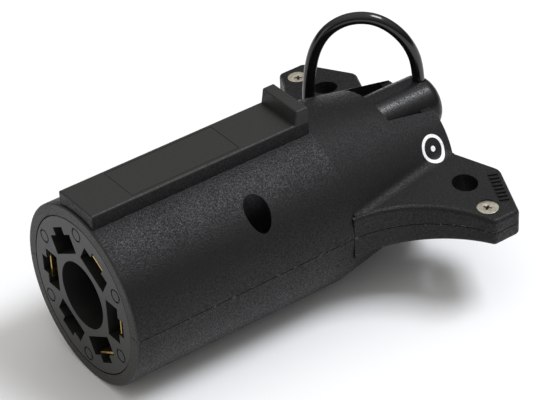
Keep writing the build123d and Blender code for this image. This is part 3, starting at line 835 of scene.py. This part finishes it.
class ADAPTER_OT_printed_ring(bpy.types.Operator):
    """Make the plain printed ring and its centre dot on the near flank"""

    bl_idname = "adapter.printed_ring"
    bl_label = "Printed ring"

    def execute(self, context):
        settings = context.scene.adapter_mark
        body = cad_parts["upper_housing"]
        # it starts at the nose's radius, clear of the tapered body, and is projected onto it
        reach = -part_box("lower_housing")[0].z
        outward = Vector((math.sin(settings.angle), 0, math.cos(settings.angle)))
        start = outward * reach + Vector((0, settings.setback, 0))
        deselect()
        bpy.ops.mesh.primitive_circle_add(vertices=96, radius=settings.radius, fill_type="NGON")
        ring = context.object
        ring.name = "printed_ring"
        bpy.ops.object.mode_set(mode="EDIT")
        bpy.ops.mesh.select_mode(type="FACE")
        bpy.ops.mesh.inset(thickness=settings.band / 2)
        bpy.ops.mesh.inset(thickness=settings.band / 2)
        bpy.ops.mesh.inset(thickness=settings.radius - settings.band - settings.dot)
        bpy.ops.mesh.inset(thickness=settings.dot / 2)
        bpy.ops.mesh.select_all(action="DESELECT")
        bpy.ops.object.mode_set(mode="OBJECT")
        # the open faces between the dot and the ring go, told by how far out their centres lie
        margin = 1.01
        inner, outer = settings.dot * margin, settings.radius - settings.band * margin
        for face in ring.data.polygons:
            face.select = inner < face.center.to_2d().length < outer
        bpy.ops.object.mode_set(mode="EDIT")
        bpy.ops.mesh.delete(type="FACE")
        bpy.ops.object.mode_set(mode="OBJECT")
        facing = outward.to_track_quat("Z", "Y").to_matrix().to_4x4()
        ring.matrix_world = Matrix.Translation(start) @ facing
        context.view_layer.update()
        apply_modifier(
            ring,
            "SHRINKWRAP",
            target=body,
            wrap_method="PROJECT",
            use_project_z=True,
            use_positive_direction=False,
            use_negative_direction=True,
            offset=INK_LIFT,
        )
        apply_modifier(ring, "SOLIDIFY", thickness=INK_THICKNESS, offset=-1.0)
        settle(ring)
        give(ring, pad_ink(settings))
        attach(ring, BODY)
        return {"FINISHED"}


# ---- Stage ----
def softbox(name, direction, distance, size, power, colour):
    """An area light that faces the object's centre from a direction, at a distance in metres."""
    light = bpy.data.lights.new(name, "AREA")
    light.shape = "RECTANGLE"
    light.size, light.size_y = size
    light.energy = power
    light.color = linear(colour)[:3]
    lamp = bpy.data.objects.new(name, light)
    bpy.context.collection.objects.link(lamp)
    low, high = cad_box
    toward = Vector(direction).normalized()
    lamp.location = (low + high) / 2 + toward * distance
    lamp.rotation_mode = "QUATERNION"
    lamp.rotation_quaternion = toward.to_track_quat("Z", "Y")


class ADAPTER_OT_stage(bpy.types.Operator):
    """Lay the pale floor and set the soft lights and the camera"""

    bl_idname = "adapter.stage"
    bl_label = "Stage"

    def execute(self, context):
        settings = context.scene.adapter_stage
        floor_width = 8
        floor_level = cad_box[0].z
        deselect()
        bpy.ops.mesh.primitive_plane_add(size=floor_width, location=(0, 0, floor_level))
        floor = context.object
        floor.name = "studio_floor"
        # matt pale card, which takes soft shadows and gives no glare
        card = begin("matt_studio_card", Base_Color=settings.floor, Roughness=0.9)[0]
        give(floor, card)

        world = bpy.data.worlds.new("soft_studio")
        context.scene.world = world
        world.use_nodes = True
        tree = world.node_tree
        # the room is bright overhead and dims towards the horizon
        sky = add(tree, "ShaderNodeTexCoord").outputs["Generated"]
        up_share = add(tree, "ShaderNodeSeparateXYZ", {"Vector": sky}).outputs["Z"]
        strength = add(
            tree, "ShaderNodeMapRange",
            {"Value": up_share, "From Min": 0.1, "From Max": 0.95, "To Min": 0.05, "To Max": 0.95},
        )
        tree.links.new(strength.outputs["Result"], tree.nodes["Background"].inputs["Strength"])
        tree.nodes["Background"].inputs["Color"].default_value = linear("fbfaf8")

        softbox(
            "key_softbox", direction=(0.28, 0.40, 0.85), distance=1.1,
            size=(0.5, 0.34), power=9, colour="f6f9ff",
        )
        softbox(
            "nose_softbox", direction=(-0.2, -1.0, 0.25), distance=1.2,
            size=(0.6, 0.6), power=1.2, colour="fff8ee",
        )

        turn, height = settings.azimuth, settings.elevation
        back = Vector(
            (math.sin(turn) * math.cos(height), -math.cos(turn) * math.cos(height), math.sin(height))
        )
        level = Vector((math.cos(turn), math.sin(turn), 0))
        upward = back.cross(level)
        right = level * math.cos(settings.roll) + upward * math.sin(settings.roll)
        up = back.cross(right)
        lens = bpy.data.cameras.new("studio_camera")
        lens.sensor_width = 36
        lens.lens = settings.lens
        lens.clip_start = 0.01
        camera = bpy.data.objects.new("studio_camera", lens)
        context.collection.objects.link(camera)
        place = Matrix((right, up, back)).transposed().to_4x4()
        place.translation = AIM + back * settings.distance
        camera.matrix_world = place
        context.scene.camera = camera
        context.scene.view_settings.view_transform = "Standard"
        return {"FINISHED"}


class ADAPTER_PT_panel(bpy.types.Panel):
    """Lists the adapter's pieces, each with its settings"""

    bl_idname = "ADAPTER_PT_panel"
    bl_label = "Trailer wiring adapter"
    bl_space_type = "VIEW_3D"
    bl_region_type = "UI"
    bl_category = "Adapter"

    def draw(self, context):
        for operator, group in STEPS:
            box = self.layout.box()
            box.operator(operator.bl_idname)
            if group:
                settings = getattr(context.scene, group)
                for name in settings.__annotations__:
                    box.prop(settings, name)


# The operators in the order they run, each with the settings that it reads.
STEPS = (
    (ADAPTER_OT_cord_loop, "adapter_cord"),
    (ADAPTER_OT_housing, "adapter_housing"),
    (ADAPTER_OT_contact_carrier, "adapter_carrier"),
    (ADAPTER_OT_contacts, None),
    (ADAPTER_OT_outlet, None),
    (ADAPTER_OT_jumper_wires, None),
    (ADAPTER_OT_screws, "adapter_screws"),
    (ADAPTER_OT_printed_ring, "adapter_mark"),
    (ADAPTER_OT_stage, "adapter_stage"),
)
GROUPS = {
    "adapter_cord": CordSettings,
    "adapter_housing": HousingSettings,
    "adapter_carrier": CarrierSettings,
    "adapter_screws": ScrewSettings,
    "adapter_mark": MarkSettings,
    "adapter_stage": StageSettings,
}
CLASSES = (*GROUPS.values(), *[operator for operator, _ in STEPS], ADAPTER_PT_panel)


def register():
    """Registers the classes and hangs each group of settings on the scene."""
    for item in CLASSES:
        bpy.utils.register_class(item)
    for name, group in GROUPS.items():
        setattr(bpy.types.Scene, name, PointerProperty(type=group))


def unregister():
    """Takes away what register added."""
    for name in GROUPS:
        delattr(bpy.types.Scene, name)
    for item in reversed(CLASSES):
        bpy.utils.unregister_class(item)


def main():
    """Makes every piece in order."""
    register()
    for operator, _ in STEPS:
        family, step = operator.bl_idname.split(".")
        getattr(getattr(bpy.ops, family), step)()


if __name__ == "__main__":
    main()
